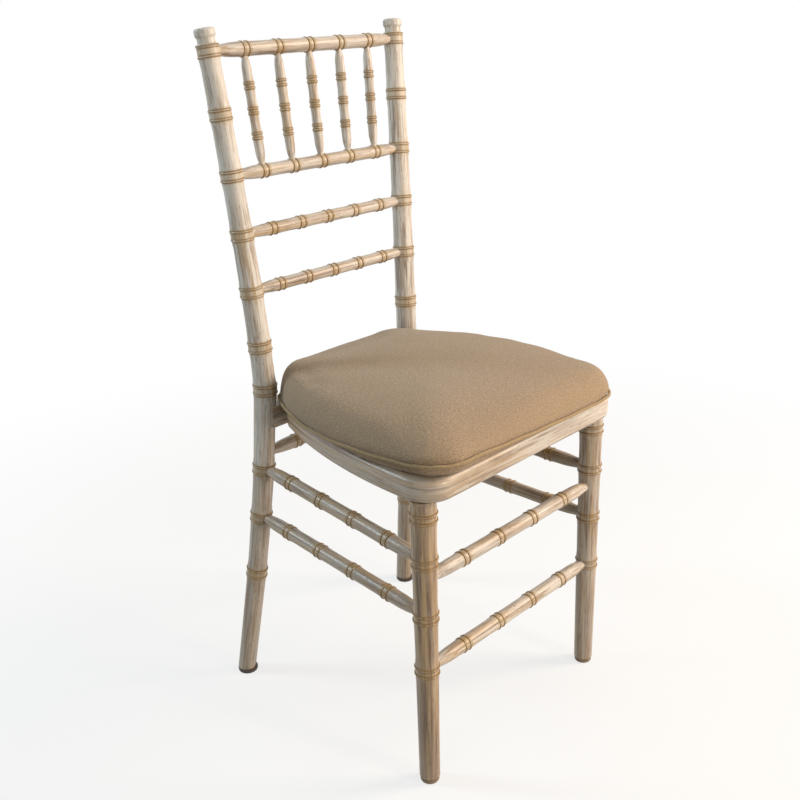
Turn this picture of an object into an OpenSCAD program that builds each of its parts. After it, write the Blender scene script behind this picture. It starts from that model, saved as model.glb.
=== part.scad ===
// Chiavari chair: a turned, limewashed wooden frame with bamboo rings, and a loose seat pad.
// The front of the chair faces -Y and +Z is up. The origin is on the floor, under the middle of the chair.
// Left and right are as seen by someone who stands in front of the chair: left is -X.

/* [Chair] */
// Height from the floor to the tops of the rear posts
chair_h = 920; // [880:5:960]
// Depth from the front edge of the pad to the back of the rear feet
chair_d = 422; // [410:1:440]
// Height of the glide under each foot
glide_h = 6; // [4:0.5:10]
// Diameter of a front glide
front_glide_d = 24.6; // [20:0.2:28]
// Diameter of a rear glide, which shows all round the raked foot
rear_glide_d = 29; // [24:0.2:29]
// How far a rear glide stands in front of the middle of its foot
rear_glide_shift = 2; // [1.5:0.5:4]

/* [Front legs] */
// Distance from the side of the seat frame in to the centre line of a front leg
front_leg_inset = 20.5; // [18.5:0.5:27]
// Diameter of a front leg under the seat
front_leg_top_d = 31.6; // [28:0.2:33]
// Diameter of a front leg at the foot
front_leg_foot_d = 26.6; // [24:0.2:30]
// Distance from the front of the seat frame back to the legs' centre lines
front_leg_setback = 30; // [26:0.5:33]
// Height of the rings under the seat
top_ring_z = 380; // [372:1:384]

/* [Rear posts] */
// Diameter of a rear post at the seat
post_seat_d = 30.4; // [28:0.2:33]
// Diameter of a rear post at the crest rail
post_top_d = 25.6; // [24:0.2:29]
// Diameter of a rear post at the foot
post_foot_d = 26; // [24:0.2:30]
// Distance between the posts' centre lines at the waist, where they stand closest
post_waist_gap = 283; // [276:1:290]
// Distance between the posts' centre lines at the top
post_top_gap = 330; // [310:1:345]
// Distance between the posts' centre lines at the feet
post_foot_gap = 350; // [320:1:370]
// Height of the waist above the top of the seat frame
post_waist_rise = 27; // [15:1:40]
// How far the top of a post stands behind the waist
post_recline = 32.5; // [20:0.5:45]
// How far the foot of a post stands behind the waist
post_rake = 55; // [40:0.5:60]
// Height of the lowest rings on a post
ankle_ring_z = 173; // [150:1:200]

/* [Back] */
// Distance from the top of a post down to the centre line of the crest rail
crest_drop = 27.5; // [24:0.5:34]
// Distance between one pair of rings and the next on a post
ring_pitch = 75; // [70:0.5:78]
// Diameter of the crest rail
crest_d = 18; // [16:0.2:20]
// Diameter of the rail under the spindles
spindle_rail_d = 17; // [15:0.2:19]
// Diameter of the ladder rungs
rung_d = 16; // [14:0.2:18]
// Diameter of a back rail or rung where it enters the post
back_end_d = 13.4; // [11:0.2:14]
// Diameter of a spindle between its rings
spindle_d = 12.4; // [10:0.2:14]
// Diameter of a spindle where it enters the rails
spindle_end_d = 8.2; // [7:0.2:9]

/* [Stretchers] */
// Diameter of a stretcher
stretcher_d = 18.8; // [17:0.2:22]
// Diameter of a stretcher where it enters the leg
stretcher_end_d = 14.4; // [12:0.2:15]
// Height of the upper side stretchers at the front legs
side_upper_z = 320; // [314:1:326]
// Height of the lower side stretchers at the front legs
side_lower_z = 245; // [235:1:255]
// Rise of a side stretcher from the front leg to the rear post
side_rise = 19; // [10:1:22]
// Height of the upper front stretcher
front_upper_z = 294; // [272:1:297]
// Height of the lower front stretcher
front_lower_z = 169; // [150:1:190]
// Height of the stretcher between the rear posts
rear_stretcher_z = 361; // [359:1:366]

/* [Rings] */
// Distance between the two beads of a pair on the front legs
leg_ring_gap = 9.5; // [8:0.5:12]
// Distance between the two beads of a pair on the rear posts
post_ring_gap = 11; // [8:0.5:12]
// Distance between the two beads at the crest rail
crest_ring_gap = 13.5; // [10:0.5:14]
// Distance between the two beads of a pair on the rails and stretchers
rail_ring_gap = 8.5; // [7:0.5:11]
// Distance between the two beads of a pair on the spindles
spindle_ring_gap = 6; // [5:0.5:8]
// Width of a bead
bead_w = 3; // [2:0.1:3.6]
// Height that a bead stands proud of a leg or post
leg_bead_h = 1.3; // [0.8:0.1:2]
// Height that a bead stands proud of a rail, stretcher or spindle
rail_bead_h = 1; // [0.6:0.1:1.6]
// How much a leg or post swells towards its rings, on the radius
leg_swell = 0.7; // [0.3:0.1:1.2]
// How much a rail, stretcher or spindle swells towards its rings, on the radius
rail_swell = 0.4; // [0.1:0.1:0.8]
// Distance from one pair of rings to the next on a spindle
spindle_ring_pitch = 31; // [26:1:34]

/* [Seat frame] */
// Height of the top of the seat frame above the floor
seat_z = 433; // [428:1:440]
// Thickness of the seat frame
frame_h = 30; // [27:0.5:33]
// Width of a rail of the seat frame, seen from above
frame_rail_w = 34; // [30:0.5:34]
// Overall width of the seat frame at its front corners
frame_w = 390; // [384:1:400]
// Radius of the rounded long edges of the rails
frame_edge_r = 7; // [4:0.5:9]
// Radius of the front corners
front_corner_r = 38; // [36:1:48]
// Radius of the rear corners
rear_corner_r = 35; // [35:0.5:40]
// Distance from the waist of a rear post in to the centre of a rear corner
rear_corner_inset = 38.5; // [30.5:0.5:41]
// Radius of the long bow of the sides
side_bow_r = 760; // [660:10:1200]
// Length of the side that belongs to the bent front rail
front_return = 42; // [38:1:60]
// How far the seat's back rail reaches behind the posts' centre lines
back_rail_overlap = 16; // [14:0.5:18]
// Thickness of the seat panel
panel_t = 6; // [4:0.5:9]
// Width of the rebate that the seat panel lies in
rebate_w = 8; // [6:0.5:10]
// Length of a corner block along the rails
block_l = 52; // [44:1:60]
// Height of a corner block
block_h = 18; // [17:0.5:19]

/* [Seat pad] */
// Distance that the pad's front edge stands out past the seat frame
pad_overhang = 8; // [4:0.5:14]
// Distance from the side of the seat frame in to the centre of a front corner of the pad
pad_front_inset = 55; // [50:0.5:74]
// Radius of the pad's front corners
pad_front_r = 52; // [46:1:60]
// Radius of the pad's rear corners
pad_rear_r = 65; // [60:1:66]
// Distance from the waist of a rear post in to the centre of a rear corner of the pad
pad_rear_inset = 65; // [64:0.5:69]
// How far the back edge of the pad reaches behind the posts' centre lines
pad_tail = 14; // [8:0.5:15]
// Radius of the long bow of the pad's sides
pad_bow_r = 480; // [400:10:600]
// Height of the pad's shoulder above the piping
pad_shoulder_h = 41; // [34:1:48]
// Height of the crown above the shoulder
pad_crown_h = 10; // [5:0.5:14]
// Thickness of the fabric cover with its lining
cover_t = 1.2; // [1:0.1:2]
// Diameter of the piping
piping_d = 4.4; // [3.6:0.2:5.6]

/* [Fixings] */
// Clearance of a round end in its socket, all round
glue_gap = 0.1; // [0.05:0.01:0.2]
// Diameter of a dowel between two rails of the seat frame
dowel_d = 10; // [8:0.5:11]
// Length of a dowel
dowel_l = 36; // [30:1:40]
// Diameter of a screw's shank
screw_d = 4; // [3.5:0.1:5]
// Diameter of a screw's head
screw_head_d = 8; // [7:0.1:9]
// Length of a corner block screw
screw_l = 30; // [24:1:36]
// Length of a seat panel screw
panel_screw_l = 16; // [12:1:20]
// Diameter of the tenon on top of a front leg
leg_tenon_d = 18; // [15:0.5:19]
// Length of the tenon on top of a front leg
leg_tenon_l = 22; // [18:0.5:23]
// Diameter of the nail that holds a glide
nail_d = 2.4; // [2:0.1:3]
// Length of a glide's nail
nail_l = 22; // [16:1:28]

/* [Hidden] */
$fn = 96;

wood = "#C9AD93";
raw_wood = "#D8C3A0";
plywood = "#CDB48C";
fabric = "#A98F76";
foam = "#E9DFB8";
steel = "#9A9A98";
plastic = "#3B3733";

spindle_count = 5;
stretcher_ring_count = 4;
post_bow_power_x = 1.25;
post_bow_power_y = 1.4;
swell_reach = 11; // a stick starts to swell this far before the outer edge of its rings
swell_lead = 1.2; // and a section of a post has swelled this far before them
bead_sink = 0.9; // a post's beads start this far under its surface
band_proud = 0.45; // the band between two beads stands this proud of the post
end_gap = 2; // a round end stops this far short of the centre line that it points at
bottom_gap = 0.3; // and its socket goes this much deeper
socket_reach = 40;
socket_lead = 0.5; // a round end stays narrow this far past the beads that it enters between
section_trim = 2; // a section of a post starts this far past the middle of its rings
section_turn = 150; // where a section of a post starts on its round, in degrees
hollow_turn = 180; // and where the hollow for it in the seat's back rail starts
pad_gap = 0.3; // clearance under the soft pad
panel_gap = 0.3; // clearance round the seat panel
block_gap = 0.1; // clearance between a corner block and the rails
screw_gap = 0.05; // clearance round a screw
nail_gap = 0.05; // clearance round a nail
screw_access = 20; // a screw's hole is open this far behind its head

// Places from front to back, all measured from the middle of the chair.
frame_front_y = -chair_d / 2 + pad_overhang;
front_leg_y = frame_front_y + front_leg_setback;
post_foot_y = chair_d / 2 - post_foot_d / 2;
post_waist_y = post_foot_y - post_rake;
post_waist_z = seat_z + post_waist_rise;
seat_rear_y = post_waist_y - post_seat_d / 2;

// The line of the right rear post: closest at the waist, and bowed out and back above and below it.
function share_up(z) = (z - post_waist_z) / (chair_h - post_waist_z);
function share_down(z) = (post_waist_z - z) / (post_waist_z - glide_h);
function post_x(z) = post_waist_gap / 2 + (z > post_waist_z
    ? (post_top_gap - post_waist_gap) / 2 * pow(share_up(z), post_bow_power_x)
    : (post_foot_gap - post_waist_gap) / 2 * pow(share_down(z), post_bow_power_x));
function post_y(z) = post_waist_y + (z > post_waist_z
    ? post_recline * pow(share_up(z), post_bow_power_y)
    : post_rake * pow(share_down(z), post_bow_power_y));
function post_r(z) = z > post_waist_z
    ? post_seat_d / 2 + (post_top_d - post_seat_d) / 2 * min(1, share_up(z + crest_drop))
    : post_seat_d / 2 + (post_foot_d - post_seat_d) / 2 * share_down(z);

// Heights of the rings on a post, from the foot up to the crest rail.
crest_z = chair_h - crest_drop;
back_ring_z = [for (i = [0:5]) crest_z - i * ring_pitch];
spindle_rail_z = back_ring_z[2];
rung_upper_z = back_ring_z[3];
rung_lower_z = back_ring_z[4];
seat_ring_z = post_waist_z - 3;
post_ring_z = concat([ankle_ring_z, side_lower_z + side_rise, side_upper_z + side_rise, seat_ring_z],
    [for (i = [5:-1:0]) back_ring_z[i]]);

// A post is turned straight from one pair of rings to the next, so its true centre line is a chain.
post_chain_z = concat([glide_h], post_ring_z, [chair_h]);
post_chain_x = [for (z = post_chain_z) [z, post_x(z)]];
post_chain_y = [for (z = post_chain_z) [z, post_y(z)]];
function post_at(z) = [lookup(z, post_chain_x), lookup(z, post_chain_y), z];

rear_glide = post_at(glide_h) - [0, rear_glide_shift, 0];
front_leg_x = frame_w / 2 - front_leg_inset;
leg_top_z = seat_z - frame_h;
leg_ring_z = [front_lower_z, side_lower_z, side_upper_z, top_ring_z];
function leg_r(z) = front_leg_foot_d / 2
    + (front_leg_top_d - front_leg_foot_d) / 2 * (z - glide_h) / (leg_top_z - glide_h);

// Length of the narrow part of a round end, from where it starts to just outside its host's beads.
function hidden_in_post(z) = post_r(z) + leg_swell + leg_bead_h + socket_lead - end_gap;
hidden_in_leg = front_leg_top_d / 2 + leg_swell + leg_bead_h + socket_lead - end_gap;
hidden_in_rail = crest_d / 2 + rail_swell + rail_bead_h + socket_lead - end_gap;

function mirrored(p) = [-p[0], p[1], p[2]];
function along(p, q, d) = p + (q - p) * d / norm(q - p);

// Ends of each turned member, on the centre lines of the pieces that it joins.
crest_end = post_at(crest_z);
spindle_rail_end = post_at(spindle_rail_z);
rung_upper_end = post_at(rung_upper_z);
rung_lower_end = post_at(rung_lower_z);
back_rail_end = post_at(seat_z - frame_h / 2);
rear_stretcher_end = post_at(rear_stretcher_z);
side_upper_ends = [[front_leg_x, front_leg_y, side_upper_z], post_at(side_upper_z + side_rise)];
side_lower_ends = [[front_leg_x, front_leg_y, side_lower_z], post_at(side_lower_z + side_rise)];
front_upper_end = [front_leg_x, front_leg_y, front_upper_z];
front_lower_end = [front_leg_x, front_leg_y, front_lower_z];
function shared_x(end, i) = -end[0] + 2 * end[0] * i / (spindle_count + 1);
function spindle_top(i) = [shared_x(crest_end, i), crest_end[1], crest_end[2]];
function spindle_foot(i) = [shared_x(spindle_rail_end, i), spindle_rail_end[1], spindle_rail_end[2]];

// Places its children with +Z pointing from p to q, turned about that line by turn.
module aim(p, q, turn = 0) {
    v = q - p;
    translate(p) rotate([0, acos(v[2] / norm(v)), atan2(v[1], v[0])]) rotate(turn) children();
}

// ---- Turned work. Outlines are lists of [radius, height]. ----

// Half a bead that stands h proud of radius r at height z.
function bead(r, z, h) = [for (a = [0:36:180]) [r + h * sin(a), z - bead_w / 2 * cos(a)]];

// Two beads gap apart round height z, on a stick of radius r that swells towards them.
function ring_pair(r, z, gap, h, swell) = let (half = gap / 2 + bead_w / 2) concat(
    [[r, z - half - swell_reach]],
    bead(r + swell, z - gap / 2, h),
    bead(r + swell, z + gap / 2, h),
    [[r, z + half + swell_reach]]);

// A round stick of length l with pairs of rings at the heights in rings. Its ends are narrow over the
// length hidden, and swell to the full size over the distance taper.
module turned(l, end_d, mid_d, hidden, taper, rings, gap) {
    er = end_d / 2;
    mr = mid_d / 2;
    ramp = [for (i = [0:4]) [er + (mr - er) * sin(90 * i / 4), hidden + taper * i / 4]];
    rotate_extrude() polygon(concat(
        [[0, 0], [er, 0]],
        ramp,
        [for (z = rings) for (p = ring_pair(mr, z, gap, rail_bead_h, rail_swell)) p],
        [for (i = [4:-1:0]) [ramp[i][0], l - ramp[i][1]]],
        [[er, l], [0, l]]));
}

// A turned stick between two centre lines, and the socket for its end at p.
module member(p, q, end_d, mid_d, hidden, taper, rings, gap = rail_ring_gap) {
    aim(along(p, q, end_gap), q)
        turned(norm(q - p) - 2 * end_gap, end_d, mid_d, hidden, taper, rings, gap);
}
module socket(p, q, end_d) {
    aim(along(p, q, end_gap - bottom_gap), q) cylinder(d = end_d + 2 * glue_gap, h = socket_reach);
}
function even_rings(p, q, n) = [for (i = [1:n]) norm(q - p) * i / (n + 1) - end_gap];

// ---- Rear posts ----

function post_gap(i) = i == len(post_ring_z) - 1 ? crest_ring_gap : post_ring_gap;
function post_half(i) = (post_gap(i) + bead_w) / 2;

// The band and its two beads that cover the place where one section of a post runs into the next.
module collar(r, gap) {
    half = (gap + bead_w) / 2;
    band = (gap - bead_w) / 2;
    lower = bead(r, -gap / 2, leg_bead_h);
    upper = bead(r, gap / 2, leg_bead_h);
    last = len(lower) - 2;
    rotate_extrude() polygon(concat(
        [[0, -half], [r - bead_sink, -half]],
        [for (i = [1:last]) lower[i]],
        [[r + band_proud, -band], [r + band_proud, band]],
        [for (i = [1:last]) upper[i]],
        [[r - bead_sink, half], [0, half]]));
}

// The straight section of a post from ring i - 1 up to ring i. Below ring 0 it runs down past the foot.
module post_section(i) {
    foot = i == 0;
    below = post_at(post_chain_z[i]);
    here = post_at(post_ring_z[i]);
    l = norm(here - below);
    r1 = post_r(below[2]);
    r2 = post_r(here[2]);
    top = [[r2, l - post_half(i) - swell_reach], [r2 + leg_swell, l - post_half(i) - swell_lead],
        [r2 + leg_swell, l - section_trim], [0, l - section_trim]];
    bottom = foot ? [[0, -post_foot_d / 2], [r1, -post_foot_d / 2]]
        : [[0, section_trim], [r1 + leg_swell, section_trim],
            [r1 + leg_swell, post_half(i - 1) + swell_lead], [r1, post_half(i - 1) + swell_reach]];
    aim(below, here, section_turn) rotate_extrude() polygon(concat(bottom, top));
}

// The neck and the rounded cap above the crest rail, of height h.
module finial(h) {
    r = post_top_d / 2;
    cap_r = r + 0.5;
    neck_r = r - 1.6;
    cap_h = 11;
    round_r = 3.4;
    cap_z = h - cap_h;
    rotate_extrude() polygon(concat(
        [[0, section_trim], [r + leg_swell, section_trim], [r + leg_swell, crest_ring_gap / 2]],
        [[neck_r, crest_ring_gap / 2 + bead_w], [neck_r, cap_z - 1.5], [cap_r - 1, cap_z]],
        [[cap_r, cap_z + 2]],
        [for (a = [0:18:90]) [cap_r - round_r + round_r * cos(a), h - round_r - 0.8 + round_r * sin(a)]],
        [[cap_r - 2 * round_r, h - 0.2], [1.5, h], [0, h]]));
}

module post_body() {
    for (i = [0:len(post_ring_z) - 1]) {
        below = post_at(post_chain_z[i]);
        here = post_at(post_ring_z[i]);
        above = post_at(post_chain_z[i + 2]);
        post_section(i);
        // the beads stand square to the mean of the two sections that meet here
        aim(here, here + (here - below) / norm(here - below) + (above - here) / norm(above - here))
            collar(post_r(here[2]) + leg_swell, post_gap(i));
    }
    top = post_at(chair_h);
    aim(crest_end, top) finial(norm(top - crest_end));
}

module rear_post() {
    foot = post_at(glide_h);
    color(wood) difference() {
        post_body();
        translate([foot[0] - 50, foot[1] - 50, glide_h - 100]) cube(100);
        for (end = [crest_end, spindle_rail_end, rung_upper_end, rung_lower_end, back_rail_end])
            socket(end, mirrored(end), back_end_d);
        socket(rear_stretcher_end, mirrored(rear_stretcher_end), stretcher_end_d);
        for (ends = [side_upper_ends, side_lower_ends]) socket(ends[1], ends[0], stretcher_end_d);
        nail_hole(rear_glide);
    }
}

// ---- Front legs ----

module front_leg() {
    shoulder = 1.2;
    color(wood) difference() {
        translate([front_leg_x, front_leg_y, 0]) rotate_extrude() polygon(concat(
            [[0, glide_h], [leg_r(glide_h) - 3, glide_h], [leg_r(glide_h) - 1, glide_h + 0.8]],
            [[leg_r(glide_h), glide_h + 2.6]],
            [for (z = leg_ring_z) for (p = ring_pair(leg_r(z), z, leg_ring_gap, leg_bead_h, leg_swell))
                if (p[1] < leg_top_z - 4) p],
            [[leg_r(leg_top_z) + shoulder, leg_top_z - 2]],
            [[leg_r(leg_top_z) + shoulder, leg_top_z], [leg_tenon_d / 2, leg_top_z]],
            [[leg_tenon_d / 2, leg_top_z + leg_tenon_l - 1], [leg_tenon_d / 2 - 1, leg_top_z + leg_tenon_l]],
            [[0, leg_top_z + leg_tenon_l]]));
        nail_hole([front_leg_x, front_leg_y, glide_h]);
        for (ends = [side_upper_ends, side_lower_ends]) socket(ends[0], ends[1], stretcher_end_d);
        for (end = [front_upper_end, front_lower_end]) socket(end, mirrored(end), stretcher_end_d);
        leg_screw(screw_gap);
    }
}

// ---- Back ----

module back_rail(end, d) {
    color(wood) difference() {
        member(mirrored(end), end, back_end_d, d, hidden_in_post(end[2]), 24,
            even_rings(mirrored(end), end, spindle_count));
        children();
    }
}
module crest_rail() {
    back_rail(crest_end, crest_d)
        for (i = [1:spindle_count]) socket(spindle_top(i), spindle_foot(i), spindle_end_d);
}
module spindle_rail() {
    back_rail(spindle_rail_end, spindle_rail_d)
        for (i = [1:spindle_count]) socket(spindle_foot(i), spindle_top(i), spindle_end_d);
}
module ladder_rung(end) {
    back_rail(end, rung_d);
}
module spindle(i) {
    p = spindle_foot(i);
    q = spindle_top(i);
    middle = norm(q - p) / 2 - end_gap;
    rings = [for (k = [-1:1]) middle + k * spindle_ring_pitch];
    taper = rings[0] - hidden_in_rail - swell_reach - 8;
    color(wood) member(p, q, spindle_end_d, spindle_d, hidden_in_rail, taper, rings, spindle_ring_gap);
}

// ---- Stretchers ----

module stretcher(p, q) {
    color(wood) member(p, q, stretcher_end_d, stretcher_d, hidden_in_leg, 26,
        even_rings(p, q, stretcher_ring_count));
}

// ---- Rounded outlines. A path is a list of [x, y, direction that the outer side faces]. ----

function arc(c, r, a, b, n, first = 1) = [for (i = [first:n]) let (t = a + (b - a) * i / n)
    [c[0] + r * cos(t), c[1] + r * sin(t), t]];

// Centre of the arc of radius br that runs round the outside of a circle of radius fr at f and one of
// radius rr at r, and touches both.
function bow_centre(f, fr, r, rr, br) = let (
    v = r - f, d = norm(v), a = br - fr, b = br - rr,
    turn = atan2(v[1], v[0]) + acos((a * a + d * d - b * b) / (2 * a * d))
    ) f + a * [cos(turn), sin(turn)];
function aim_angle(p, q) = atan2(q[1] - p[1], q[0] - p[0]);
function mirrored_path(path) = [for (i = [len(path) - 1:-1:0]) [-path[i][0], path[i][1], 180 - path[i][2]]];
function inset(path, t) = [for (p = path) [p[0] - t * cos(p[2]), p[1] - t * sin(p[2])]];

// Joins rings of points, each with as many points as the next, into one closed solid.
module loft(rings, endless = false) {
    n = len(rings[0]);
    m = len(rings);
    last = endless ? m - 1 : m - 2;
    sides = [for (j = [0:last]) for (i = [0:n - 1]) let (k = (i + 1) % n, u = (j + 1) % m)
        each [[j * n + i, u * n + k, j * n + k], [j * n + i, u * n + i, u * n + k]]];
    ends = endless ? [] : [[for (i = [0:n - 1]) i], [for (i = [n - 1:-1:0]) (m - 1) * n + i]];
    polyhedron(points = [for (r = rings) for (p = r) p], faces = concat(sides, ends));
}

// ---- Seat frame ----

front_corner = [frame_w / 2 - front_corner_r, frame_front_y + front_corner_r];
rear_corner = [post_waist_gap / 2 - rear_corner_inset, seat_rear_y - rear_corner_r];
side_centre = bow_centre(front_corner, front_corner_r, rear_corner, rear_corner_r, side_bow_r);
side_start = aim_angle(side_centre, front_corner);
side_end = aim_angle(side_centre, rear_corner);
side_joint = side_start + front_return / side_bow_r * 180 / PI;

// Half the outer edge of the seat: the part that belongs to the bent front rail, and the rest.
front_half = concat(arc(front_corner, front_corner_r, -90, side_start, 9, 0),
    arc(side_centre, side_bow_r, side_start, side_joint, 2));
side_half = concat(arc(side_centre, side_bow_r, side_joint, side_end, 6),
    arc(rear_corner, rear_corner_r, side_end, 90, 7));
front_path = concat(mirrored_path(front_half), front_half);
side_path = concat([front_half[len(front_half) - 1]], side_half);
function seat_outline(t) = inset(concat(front_path, side_half, mirrored_path(side_half)), t);

// The section of a rail, [distance in from the outer edge, height]: a bar with rounded edges.
rail_section = let (e = frame_edge_r, w = frame_rail_w, h = frame_h) [
    for (c = [[e, e, 180], [w - e, e, 270], [w - e, h - e, 0], [e, h - e, 90]])
        for (a = [0:30:90]) [c[0] + e * cos(c[2] + a), c[1] + e * sin(c[2] + a)]];
module bent_rail(path) {
    loft([for (p = path) [for (s = rail_section)
        [p[0] - s[0] * cos(p[2]), p[1] - s[0] * sin(p[2]), leg_top_z + s[1]]]]);
}

module panel_rebate() {
    translate([0, 0, seat_z - panel_t]) linear_extrude(panel_t + 1)
        polygon(seat_outline(frame_rail_w - rebate_w));
}

module seat_front_rail() {
    color(wood) difference() {
        bent_rail(front_path);
        panel_rebate();
        for (side = [0, 1]) mirror([side, 0, 0]) {
            translate([front_leg_x, front_leg_y, leg_top_z - 1])
                cylinder(d = leg_tenon_d + 2 * glue_gap, h = leg_tenon_l + 1 + bottom_gap);
            front_dowel(glue_gap);
            leg_screw(screw_gap);
            front_block_screws(screw_gap);
        }
    }
}

module seat_side_rail() {
    color(wood) difference() {
        bent_rail(side_path);
        panel_rebate();
        front_dowel(glue_gap);
        rear_dowel(glue_gap);
        front_block_screws(screw_gap);
        rear_block_screws(screw_gap);
    }
}

// One board: its front half closes the seat frame between the side rails, and its back half runs from
// post to post, with ends hollowed to fit round them and a round tenon in each.
module seat_back_rail() {
    inner_y = seat_rear_y - frame_rail_w;
    outer_y = back_rail_end[1] + back_rail_overlap;
    reach = back_rail_end[0];
    chamfer = 4;
    half = [[rear_corner[0], inner_y], [rear_corner[0], seat_rear_y], [reach, seat_rear_y],
        [reach, outer_y - chamfer], [reach - chamfer, outer_y]];
    color(wood) difference() {
        union() {
            difference() {
                translate([0, 0, leg_top_z]) linear_extrude(frame_h)
                    polygon(concat(half, [for (i = [len(half) - 1:-1:0]) [-half[i][0], half[i][1]]]));
                for (side = [0, 1]) mirror([side, 0, 0])
                    aim(post_at(leg_top_z - 10), post_at(seat_z + 10), hollow_turn)
                        cylinder(r = post_r(seat_z) + glue_gap, h = frame_h + 20);
            }
            for (side = [0, 1]) mirror([side, 0, 0])
                aim(along(back_rail_end, mirrored(back_rail_end), end_gap), mirrored(back_rail_end))
                    cylinder(d = back_end_d, h = post_seat_d);
        }
        panel_rebate();
        for (side = [0, 1]) mirror([side, 0, 0]) {
            rear_dowel(glue_gap);
            rear_block_screws(screw_gap);
        }
    }
}

module seat_panel() {
    color(plywood) difference() {
        translate([0, 0, seat_z - panel_t]) linear_extrude(panel_t)
            polygon(seat_outline(frame_rail_w - rebate_w + panel_gap));
        for (side = [0, 1]) mirror([side, 0, 0]) panel_screw_pair(screw_gap);
    }
}

// The corner blocks fill the inner corners of the frame, under the panel. A block's long face stands
// square to the line that halves its corner.
block_top_z = seat_z - panel_t;
block_inner = frame_rail_w + block_gap;
front_inner = [front_corner[0] + front_corner_r - frame_rail_w, frame_front_y + frame_rail_w];
rear_inner = [rear_corner[0] + rear_corner_r - frame_rail_w, seat_rear_y - frame_rail_w];
front_half_angle = (90 - side_start) / 2;
rear_half_angle = (90 + side_end) / 2;
front_block_depth = block_l * cos(front_half_angle);
rear_block_depth = block_l * cos(rear_half_angle);

module corner_block(corner, facing, depth) {
    color(raw_wood) difference() {
        translate([0, 0, block_top_z - block_h]) linear_extrude(block_h) intersection() {
            polygon(seat_outline(block_inner));
            translate(corner) rotate(facing) translate([-frame_rail_w, -block_l])
                square([frame_rail_w + depth, 2 * block_l]);
        }
        children();
    }
}
module corner_block_front() {
    corner_block(front_inner, 180 - front_half_angle, front_block_depth) {
        front_block_screws(screw_gap);
        leg_screw(screw_gap);
        panel_screw_pair(screw_gap);
    }
}
module corner_block_rear() {
    corner_block(rear_inner, 180 + rear_half_angle, rear_block_depth) {
        rear_block_screws(screw_gap);
        panel_screw_pair(screw_gap);
    }
}

// ---- Fixings. A fixing is drawn with extra = 0, and the hole for it with extra = its clearance. ----

dowel_z = leg_top_z + 9;
screw_z = block_top_z - 6.5;
block_screw_in = block_l * 0.73; // from the inner corner of the frame, along the rail
block_screw_seat = 8; // wood of the block that is left under a screw's head

module front_dowel(extra) {
    r = side_bow_r - frame_rail_w / 2;
    translate([side_centre[0] + r * cos(side_joint), side_centre[1] + r * sin(side_joint), dowel_z])
        rotate([90, 0, side_joint]) cylinder(d = dowel_d + 2 * extra, h = dowel_l + 2 * extra, center = true);
}
module rear_dowel(extra) {
    translate([rear_corner[0], seat_rear_y - frame_rail_w / 2, dowel_z]) rotate([0, 90, 0])
        cylinder(d = dowel_d + 2 * extra, h = dowel_l + 2 * extra, center = true);
}

// A countersunk screw that points along +Z from its head at the origin. Its hole is open behind the head.
module screw(l, extra) {
    r = screw_d / 2 + extra;
    head_r = screw_head_d / 2 + extra;
    back = extra > 0 ? -screw_access : 0;
    point_l = 3;
    rotate_extrude() polygon([[0, back], [head_r, back], [head_r, 0.2], [r, 0.2 + head_r - r],
        [r, l - point_l], [0.3, l + extra], [0, l + extra]]);
}
module front_block_screws(extra) {
    translate([front_inner[0] - block_screw_in, front_inner[1] + block_screw_seat, screw_z])
        rotate([90, 0, 0]) screw(screw_l, extra);
    side_block_screw(front_inner[1] + block_screw_in, extra);
}
module rear_block_screws(extra) {
    translate([rear_inner[0] - block_screw_in, rear_inner[1] - block_screw_seat, screw_z])
        rotate([-90, 0, 0]) screw(screw_l, extra);
    side_block_screw(rear_inner[1] - block_screw_in * cos(side_end), extra);
}
module side_block_screw(y, extra) {
    r = side_bow_r - frame_rail_w;
    translate([side_centre[0], side_centre[1], screw_z]) rotate([0, 0, asin((y - side_centre[1]) / r)])
        translate([r - block_screw_seat, 0, 0]) rotate([0, 90, 0]) screw(screw_l, extra);
}
// From the long face of the front corner block to the middle of the leg's tenon.
module leg_screw(extra) {
    facing = 180 - front_half_angle;
    n = [cos(facing), sin(facing)];
    reach = front_block_depth + (front_inner - [front_leg_x, front_leg_y]) * n;
    translate([front_leg_x, front_leg_y, screw_z]) rotate([0, 0, facing]) translate([reach, 0, 0])
        rotate([0, -90, 0]) screw(reach - end_gap, extra);
}
module panel_screw_pair(extra) {
    for (at = [front_inner + [-20, 8], rear_inner + [-12, -10]])
        translate([at[0], at[1], seat_z]) rotate([180, 0, 0]) screw(panel_screw_l, extra);
}

module rail_dowels() {
    color(raw_wood) for (side = [0, 1]) mirror([side, 0, 0]) {
        front_dowel(0);
        rear_dowel(0);
    }
}
module block_screws() {
    color(steel) for (side = [0, 1]) mirror([side, 0, 0]) {
        front_block_screws(0);
        rear_block_screws(0);
    }
}
module leg_screws() {
    color(steel) for (side = [0, 1]) mirror([side, 0, 0]) leg_screw(0);
}
module panel_screws() {
    color(steel) for (side = [0, 1]) mirror([side, 0, 0]) panel_screw_pair(0);
}

// ---- Glides ----

nail_head_d = nail_d * 2.5;
nail_head_h = 1.2;
nail_head_z = 1; // the head lies this far above the floor

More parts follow.
